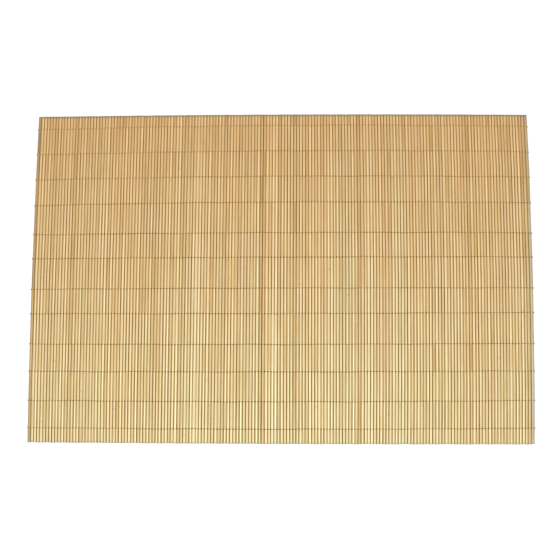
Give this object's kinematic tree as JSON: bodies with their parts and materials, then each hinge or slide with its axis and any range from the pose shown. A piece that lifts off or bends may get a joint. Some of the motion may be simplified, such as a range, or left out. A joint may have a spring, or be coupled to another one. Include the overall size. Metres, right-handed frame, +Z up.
{
  "type": "bamboo placemat",
  "caption": "Flat rectangular table mat of thin bamboo slats laid side by side and held by rows of fine brown thread.",
  "frame": {"origin": "middle of the mat, on the surface that it lies on", "axes": "+X across the slats towards the mat's right side, +Y along the slats away from the front edge, +Z up"},
  "size_m": [0.4511, 0.3, 0.003],
  "materials": {
    "bamboo": "satin",
    "thread": "matte"
  },
  "bodies": {
    "root": {"slats": "bamboo", "thread_01_top": "thread", "thread_01_under": "thread", "thread_02_top": "thread", "thread_02_under": "thread", "thread_03_top": "thread", "thread_03_under": "thread", "thread_04_top": "thread", "thread_04_under": "thread", "thread_05_top": "thread", "thread_05_under": "thread", "thread_06_top": "thread", "thread_06_under": "thread", "thread_07_top": "thread", "thread_07_under": "thread", "thread_08_top": "thread", "thread_08_under": "thread", "thread_09_top": "thread", "thread_09_under": "thread", "thread_10_top": "thread", "thread_10_under": "thread", "thread_11_top": "thread", "thread_11_under": "thread", "thread_12_top": "thread", "thread_12_under": "thread"}
  },
  "joints": []
}
